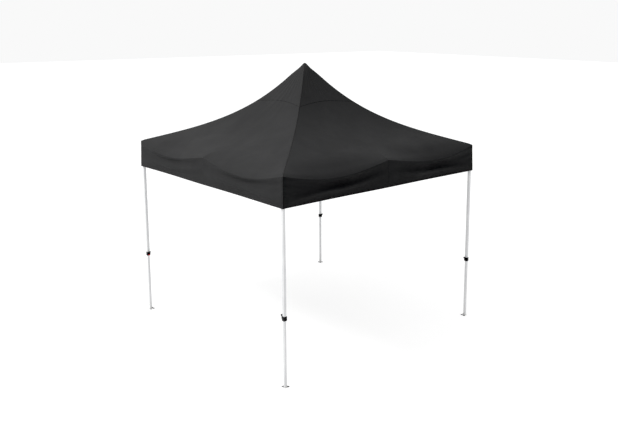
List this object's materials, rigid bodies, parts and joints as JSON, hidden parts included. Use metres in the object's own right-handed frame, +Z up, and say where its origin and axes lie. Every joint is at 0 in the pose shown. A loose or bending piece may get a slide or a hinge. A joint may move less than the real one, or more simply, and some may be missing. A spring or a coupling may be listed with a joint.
{
  "type": "pop-up canopy",
  "caption": "Folding square canopy: a peaked black fabric cover with a hanging valance on a white scissor frame with telescopic square legs, lever collars and foot plates",
  "frame": {"origin": "on the ground under the peak, at the middle of the four feet", "axes": "+Z up, -Y towards the front side, +X towards the right side; the sides of the square run along X and Y"},
  "size_m": [3, 3, 3.285],
  "materials": {
    "powder_coat": "smooth white powder coat on steel tube",
    "black_plastic": "moulded black nylon, fine grain",
    "fabric": "matte black coated polyester, plain weave"
  },
  "bodies": {
    "frame_head": {"upper_hub": "black_plastic", "cover": "fabric"},
    "mast": {"mast": "powder_coat"},
    "lower_hub": {"lower_hub": "black_plastic"},
    "hub_bar_right": {"hub_bar_right": "powder_coat"},
    "lift_bar_right": {"lift_bar_right": "powder_coat"},
    "side_connector_upper_right": {"side_connector_upper_right": "black_plastic"},
    "side_connector_lower_right": {"side_connector_lower_right": "black_plastic"},
    "hub_bar_rear": {"hub_bar_rear": "powder_coat"},
    "lift_bar_rear": {"lift_bar_rear": "powder_coat"},
    "side_connector_upper_rear": {"side_connector_upper_rear": "black_plastic"},
    "side_connector_lower_rear": {"side_connector_lower_rear": "black_plastic"},
    "hub_bar_left": {"hub_bar_left": "powder_coat"},
    "lift_bar_left": {"lift_bar_left": "powder_coat"},
    "side_connector_upper_left": {"side_connector_upper_left": "black_plastic"},
    "side_connector_lower_left": {"side_connector_lower_left": "black_plastic"},
    "hub_bar_front": {"hub_bar_front": "powder_coat"},
    "lift_bar_front": {"lift_bar_front": "powder_coat"},
    "side_connector_upper_front": {"side_connector_upper_front": "black_plastic"},
    "side_connector_lower_front": {"side_connector_lower_front": "black_plastic"},
    "slider_bar_right_ccw": {"slider_bar_right_ccw": "powder_coat"},
    "corner_bar_right_ccw": {"corner_bar_right_ccw": "powder_coat"},
    "leg_rear_right": {"outer_leg_rear_right": "powder_coat", "corner_bracket_rear_right": "black_plastic", "leg_collar_rear_right": "black_plastic"},
    "slider_rear_right": {"slider_rear_right": "black_plastic"},
    "slider_bar_right_cw": {"slider_bar_right_cw": "powder_coat"},
    "corner_bar_right_cw": {"corner_bar_right_cw": "powder_coat"},
    "slider_bar_rear_ccw": {"slider_bar_rear_ccw": "powder_coat"},
    "corner_bar_rear_ccw": {"corner_bar_rear_ccw": "powder_coat"},
    "leg_rear_left": {"outer_leg_rear_left": "powder_coat", "corner_bracket_rear_left": "black_plastic", "leg_collar_rear_left": "black_plastic"},
    "slider_rear_left": {"slider_rear_left": "black_plastic"},
    "slider_bar_rear_cw": {"slider_bar_rear_cw": "powder_coat"},
    "corner_bar_rear_cw": {"corner_bar_rear_cw": "powder_coat"},
    "slider_bar_left_ccw": {"slider_bar_left_ccw": "powder_coat"},
    "corner_bar_left_ccw": {"corner_bar_left_ccw": "powder_coat"},
    "leg_front_left": {"outer_leg_front_left": "powder_coat", "corner_bracket_front_left": "black_plastic", "leg_collar_front_left": "black_plastic"},
    "slider_front_left": {"slider_front_left": "black_plastic"},
    "slider_bar_left_cw": {"slider_bar_left_cw": "powder_coat"},
    "corner_bar_left_cw": {"corner_bar_left_cw": "powder_coat"},
    "slider_bar_front_ccw": {"slider_bar_front_ccw": "powder_coat"},
    "corner_bar_front_ccw": {"corner_bar_front_ccw": "powder_coat"},
    "leg_front_right": {"outer_leg_front_right": "powder_coat", "corner_bracket_front_right": "black_plastic", "leg_collar_front_right": "black_plastic"},
    "slider_front_right": {"slider_front_right": "black_plastic"},
    "slider_bar_front_cw": {"slider_bar_front_cw": "powder_coat"},
    "corner_bar_front_cw": {"corner_bar_front_cw": "powder_coat"},
    "inner_leg_rear_right": {"inner_leg_rear_right": "powder_coat"},
    "collar_lever_rear_right": {"collar_lever_rear_right": "black_plastic"},
    "inner_leg_rear_left": {"inner_leg_rear_left": "powder_coat"},
    "collar_lever_rear_left": {"collar_lever_rear_left": "black_plastic"},
    "inner_leg_front_left": {"inner_leg_front_left": "powder_coat"},
    "collar_lever_front_left": {"collar_lever_front_left": "black_plastic"},
    "inner_leg_front_right": {"inner_leg_front_right": "powder_coat"},
    "collar_lever_front_right": {"collar_lever_front_right": "black_plastic"}
  },
  "joints": [
    {"name": "fold", "type": "hinge", "parent": "frame_head", "child": "hub_bar_right", "pos_m": [0.036, 0, 2.24], "axis": [0, 1, 0], "range_deg": [0, 73], "deforming": ["cover"]},
    {"name": "cross_right", "type": "hinge", "parent": "hub_bar_right", "child": "lift_bar_right", "pos_m": [0.74, 0, 2.11587], "axis": [0, 1, 0], "range_deg": [-148, 2]},
    {"name": "upper_connector_right", "type": "hinge", "parent": "lift_bar_right", "child": "side_connector_upper_right", "pos_m": [1.444, 0, 2.24], "axis": [0, 1, 0], "range_deg": [-1, 74]},
    {"name": "lower_connector_right", "type": "hinge", "parent": "hub_bar_right", "child": "side_connector_lower_right", "pos_m": [1.444, 0, 1.99173], "axis": [0, 1, 0], "range_deg": [-74, 1]},
    {"name": "lower_hub_pivot", "type": "hinge", "parent": "lift_bar_right", "child": "lower_hub", "pos_m": [0.036, 0, 1.99173], "axis": [0, 1, 0], "range_deg": [-1, 74]},
    {"name": "fold_rear", "type": "hinge", "parent": "frame_head", "child": "hub_bar_rear", "pos_m": [0, 0.036, 2.24], "axis": [-1, 0, 0], "range_deg": [-1, 74]},
    {"name": "cross_rear", "type": "hinge", "parent": "hub_bar_rear", "child": "lift_bar_rear", "pos_m": [0, 0.74, 2.11587], "axis": [-1, 0, 0], "range_deg": [-148, 2]},
    {"name": "upper_connector_rear", "type": "hinge", "parent": "lift_bar_rear", "child": "side_connector_upper_rear", "pos_m": [0, 1.444, 2.24], "axis": [-1, 0, 0], "range_deg": [-1, 74]},
    {"name": "lower_connector_rear", "type": "hinge", "parent": "hub_bar_rear", "child": "side_connector_lower_rear", "pos_m": [0, 1.444, 1.99173], "axis": [-1, 0, 0], "range_deg": [-74, 1]},
    {"name": "fold_left", "type": "hinge", "parent": "frame_head", "child": "hub_bar_left", "pos_m": [-0.036, 0, 2.24], "axis": [0, -1, 0], "range_deg": [-1, 74]},
    {"name": "cross_left", "type": "hinge", "parent": "hub_bar_left", "child": "lift_bar_left", "pos_m": [-0.74, 0, 2.11587], "axis": [0, -1, 0], "range_deg": [-148, 2]},
    {"name": "upper_connector_left", "type": "hinge", "parent": "lift_bar_left", "child": "side_connector_upper_left", "pos_m": [-1.444, 0, 2.24], "axis": [0, -1, 0], "range_deg": [-1, 74]},
    {"name": "lower_connector_left", "type": "hinge", "parent": "hub_bar_left", "child": "side_connector_lower_left", "pos_m": [-1.444, 0, 1.99173], "axis": [0, -1, 0], "range_deg": [-74, 1]},
    {"name": "fold_front", "type": "hinge", "parent": "frame_head", "child": "hub_bar_front", "pos_m": [0, -0.036, 2.24], "axis": [1, 0, 0], "range_deg": [-1, 74]},
    {"name": "cross_front", "type": "hinge", "parent": "hub_bar_front", "child": "lift_bar_front", "pos_m": [0, -0.74, 2.11587], "axis": [1, 0, 0], "range_deg": [-148, 2]},
    {"name": "upper_connector_front", "type": "hinge", "parent": "lift_bar_front", "child": "side_connector_upper_front", "pos_m": [0, -1.444, 2.24], "axis": [1, 0, 0], "range_deg": [-1, 74]},
    {"name": "lower_connector_front", "type": "hinge", "parent": "hub_bar_front", "child": "side_connector_lower_front", "pos_m": [0, -1.444, 1.99173], "axis": [1, 0, 0], "range_deg": [-74, 1]},
    {"name": "mast_slide", "type": "slide", "parent": "frame_head", "child": "mast", "axis": [0, 0, 1], "range_m": [-0.875, 0.01]},
    {"name": "slider_bar_right_ccw", "type": "hinge", "parent": "side_connector_upper_right", "child": "slider_bar_right_ccw", "pos_m": [1.478, 0.026, 2.24], "axis": [-1, 0, 0], "range_deg": [-1, 74]},
    {"name": "side_cross_right_ccw", "type": "hinge", "parent": "slider_bar_right_ccw", "child": "corner_bar_right_ccw", "pos_m": [1.478, 0.73, 2.11587], "axis": [-1, 0, 0], "range_deg": [-148, 2]},
    {"name": "bracket_rear_right", "type": "hinge", "parent": "corner_bar_right_ccw", "child": "leg_rear_right", "pos_m": [1.478, 1.434, 2.24], "axis": [-1, 0, 0], "range_deg": [-1, 74]},
    {"name": "slider_rear_right", "type": "hinge", "parent": "slider_bar_right_ccw", "child": "slider_rear_right", "pos_m": [1.478, 1.434, 1.99173], "axis": [-1, 0, 0], "range_deg": [-74, 1]},
    {"name": "slider_bar_right_cw", "type": "hinge", "parent": "side_connector_upper_right", "child": "slider_bar_right_cw", "pos_m": [1.478, -0.026, 2.24], "axis": [1, 0, 0], "range_deg": [-1, 74]},
    {"name": "side_cross_right_cw", "type": "hinge", "parent": "slider_bar_right_cw", "child": "corner_bar_right_cw", "pos_m": [1.478, -0.73, 2.11587], "axis": [1, 0, 0], "range_deg": [-148, 2]},
    {"name": "slider_bar_rear_ccw", "type": "hinge", "parent": "side_connector_upper_rear", "child": "slider_bar_rear_ccw", "pos_m": [-0.026, 1.478, 2.24], "axis": [0, -1, 0], "range_deg": [-1, 74]},
    {"name": "side_cross_rear_ccw", "type": "hinge", "parent": "slider_bar_rear_ccw", "child": "corner_bar_rear_ccw", "pos_m": [-0.73, 1.478, 2.11587], "axis": [0, -1, 0], "range_deg": [-148, 2]},
    {"name": "bracket_rear_left", "type": "hinge", "parent": "corner_bar_rear_ccw", "child": "leg_rear_left", "pos_m": [-1.434, 1.478, 2.24], "axis": [0, -1, 0], "range_deg": [-1, 74]},
    {"name": "slider_rear_left", "type": "hinge", "parent": "slider_bar_rear_ccw", "child": "slider_rear_left", "pos_m": [-1.434, 1.478, 1.99173], "axis": [0, -1, 0], "range_deg": [-74, 1]},
    {"name": "slider_bar_rear_cw", "type": "hinge", "parent": "side_connector_upper_rear", "child": "slider_bar_rear_cw", "pos_m": [0.026, 1.478, 2.24], "axis": [0, 1, 0], "range_deg": [-1, 74]},
    {"name": "side_cross_rear_cw", "type": "hinge", "parent": "slider_bar_rear_cw", "child": "corner_bar_rear_cw", "pos_m": [0.73, 1.478, 2.11587], "axis": [0, 1, 0], "range_deg": [-148, 2]},
    {"name": "slider_bar_left_ccw", "type": "hinge", "parent": "side_connector_upper_left", "child": "slider_bar_left_ccw", "pos_m": [-1.478, -0.026, 2.24], "axis": [1, 0, 0], "range_deg": [-1, 74]},
    {"name": "side_cross_left_ccw", "type": "hinge", "parent": "slider_bar_left_ccw", "child": "corner_bar_left_ccw", "pos_m": [-1.478, -0.73, 2.11587], "axis": [1, 0, 0], "range_deg": [-148, 2]},
    {"name": "bracket_front_left", "type": "hinge", "parent": "corner_bar_left_ccw", "child": "leg_front_left", "pos_m": [-1.478, -1.434, 2.24], "axis": [1, 0, 0], "range_deg": [-1, 74]},
    {"name": "slider_front_left", "type": "hinge", "parent": "slider_bar_left_ccw", "child": "slider_front_left", "pos_m": [-1.478, -1.434, 1.99173], "axis": [1, 0, 0], "range_deg": [-74, 1]},
    {"name": "slider_bar_left_cw", "type": "hinge", "parent": "side_connector_upper_left", "child": "slider_bar_left_cw", "pos_m": [-1.478, 0.026, 2.24], "axis": [-1, 0, 0], "range_deg": [-1, 74]},
    {"name": "side_cross_left_cw", "type": "hinge", "parent": "slider_bar_left_cw", "child": "corner_bar_left_cw", "pos_m": [-1.478, 0.73, 2.11587], "axis": [-1, 0, 0], "range_deg": [-148, 2]},
    {"name": "slider_bar_front_ccw", "type": "hinge", "parent": "side_connector_upper_front", "child": "slider_bar_front_ccw", "pos_m": [0.026, -1.478, 2.24], "axis": [0, 1, 0], "range_deg": [-1, 74]},
    {"name": "side_cross_front_ccw", "type": "hinge", "parent": "slider_bar_front_ccw", "child": "corner_bar_front_ccw", "pos_m": [0.73, -1.478, 2.11587], "axis": [0, 1, 0], "range_deg": [-148, 2]},
    {"name": "bracket_front_right", "type": "hinge", "parent": "corner_bar_front_ccw", "child": "leg_front_right", "pos_m": [1.434, -1.478, 2.24], "axis": [0, 1, 0], "range_deg": [-1, 74]},
    {"name": "slider_front_right", "type": "hinge", "parent": "slider_bar_front_ccw", "child": "slider_front_right", "pos_m": [1.434, -1.478, 1.99173], "axis": [0, 1, 0], "range_deg": [-74, 1]},
    {"name": "slider_bar_front_cw", "type": "hinge", "parent": "side_connector_upper_front", "child": "slider_bar_front_cw", "pos_m": [-0.026, -1.478, 2.24], "axis": [0, -1, 0], "range_deg": [-1, 74]},
    {"name": "side_cross_front_cw", "type": "hinge", "parent": "slider_bar_front_cw", "child": "corner_bar_front_cw", "pos_m": [-0.73, -1.478, 2.11587], "axis": [0, -1, 0], "range_deg": [-148, 2]},
    {"name": "leg_extension_rear_right", "type": "slide", "parent": "leg_rear_right", "child": "inner_leg_rear_right", "axis": [0, 0, 1], "range_m": [0, 0.66]},
    {"name": "collar_lever_rear_right", "type": "hinge", "parent": "leg_rear_right", "child": "collar_lever_rear_right", "pos_m": [1.478, 1.4525, 0.772], "axis": [1, 0, 0], "range_deg": [0, 40], "stiffness_Nm_per_rad": 0.2},
    {"name": "leg_extension_rear_left", "type": "slide", "parent": "leg_rear_left", "child": "inner_leg_rear_left", "axis": [0, 0, 1], "range_m": [0, 0.66]},
    {"name": "collar_lever_rear_left", "type": "hinge", "parent": "leg_rear_left", "child": "collar_lever_rear_left", "pos_m": [-1.478, 1.4525, 0.772], "axis": [1, 0, 0], "range_deg": [0, 40], "stiffness_Nm_per_rad": 0.2},
    {"name": "leg_extension_front_left", "type": "slide", "parent": "leg_front_left", "child": "inner_leg_front_left", "axis": [0, 0, 1], "range_m": [0, 0.66]},
    {"name": "collar_lever_front_left", "type": "hinge", "parent": "leg_front_left", "child": "collar_lever_front_left", "pos_m": [-1.478, -1.4525, 0.772], "axis": [-1, 0, 0], "range_deg": [0, 40], "stiffness_Nm_per_rad": 0.2},
    {"name": "leg_extension_front_right", "type": "slide", "parent": "leg_front_right", "child": "inner_leg_front_right", "axis": [0, 0, 1], "range_m": [0, 0.66]},
    {"name": "collar_lever_front_right", "type": "hinge", "parent": "leg_front_right", "child": "collar_lever_front_right", "pos_m": [1.4525, -1.478, 0.772], "axis": [0, -1, 0], "range_deg": [0, 40], "stiffness_Nm_per_rad": 0.2}
  ],
  "couplings": [
    {"joint": "cross_right", "follows": "fold", "ratio": -2},
    {"joint": "upper_connector_right", "follows": "fold", "ratio": 1},
    {"joint": "lower_connector_right", "follows": "fold", "ratio": -1},
    {"joint": "lower_hub_pivot", "follows": "fold", "ratio": 1},
    {"joint": "fold_rear", "follows": "fold", "ratio": 1},
    {"joint": "cross_rear", "follows": "fold", "ratio": -2},
    {"joint": "upper_connector_rear", "follows": "fold", "ratio": 1},
    {"joint": "lower_connector_rear", "follows": "fold", "ratio": -1},
    {"joint": "fold_left", "follows": "fold", "ratio": 1},
    {"joint": "cross_left", "follows": "fold", "ratio": -2},
    {"joint": "upper_connector_left", "follows": "fold", "ratio": 1},
    {"joint": "lower_connector_left", "follows": "fold", "ratio": -1},
    {"joint": "fold_front", "follows": "fold", "ratio": 1},
    {"joint": "cross_front", "follows": "fold", "ratio": -2},
    {"joint": "upper_connector_front", "follows": "fold", "ratio": 1},
    {"joint": "lower_connector_front", "follows": "fold", "ratio": -1},
    {"joint": "mast_slide", "follows": "fold", "m_per_rad": -0.67107},
    {"joint": "slider_bar_right_ccw", "follows": "fold", "ratio": 1},
    {"joint": "side_cross_right_ccw", "follows": "fold", "ratio": -2},
    {"joint": "bracket_rear_right", "follows": "fold", "ratio": 1},
    {"joint": "slider_rear_right", "follows": "fold", "ratio": -1},
    {"joint": "slider_bar_right_cw", "follows": "fold", "ratio": 1},
    {"joint": "side_cross_right_cw", "follows": "fold", "ratio": -2},
    {"joint": "slider_bar_rear_ccw", "follows": "fold", "ratio": 1},
    {"joint": "side_cross_rear_ccw", "follows": "fold", "ratio": -2},
    {"joint": "bracket_rear_left", "follows": "fold", "ratio": 1},
    {"joint": "slider_rear_left", "follows": "fold", "ratio": -1},
    {"joint": "slider_bar_rear_cw", "follows": "fold", "ratio": 1},
    {"joint": "side_cross_rear_cw", "follows": "fold", "ratio": -2},
    {"joint": "slider_bar_left_ccw", "follows": "fold", "ratio": 1},
    {"joint": "side_cross_left_ccw", "follows": "fold", "ratio": -2},
    {"joint": "bracket_front_left", "follows": "fold", "ratio": 1},
    {"joint": "slider_front_left", "follows": "fold", "ratio": -1},
    {"joint": "slider_bar_left_cw", "follows": "fold", "ratio": 1},
    {"joint": "side_cross_left_cw", "follows": "fold", "ratio": -2},
    {"joint": "slider_bar_front_ccw", "follows": "fold", "ratio": 1},
    {"joint": "side_cross_front_ccw", "follows": "fold", "ratio": -2},
    {"joint": "bracket_front_right", "follows": "fold", "ratio": 1},
    {"joint": "slider_front_right", "follows": "fold", "ratio": -1},
    {"joint": "slider_bar_front_cw", "follows": "fold", "ratio": 1},
    {"joint": "side_cross_front_cw", "follows": "fold", "ratio": -2}
  ]
}
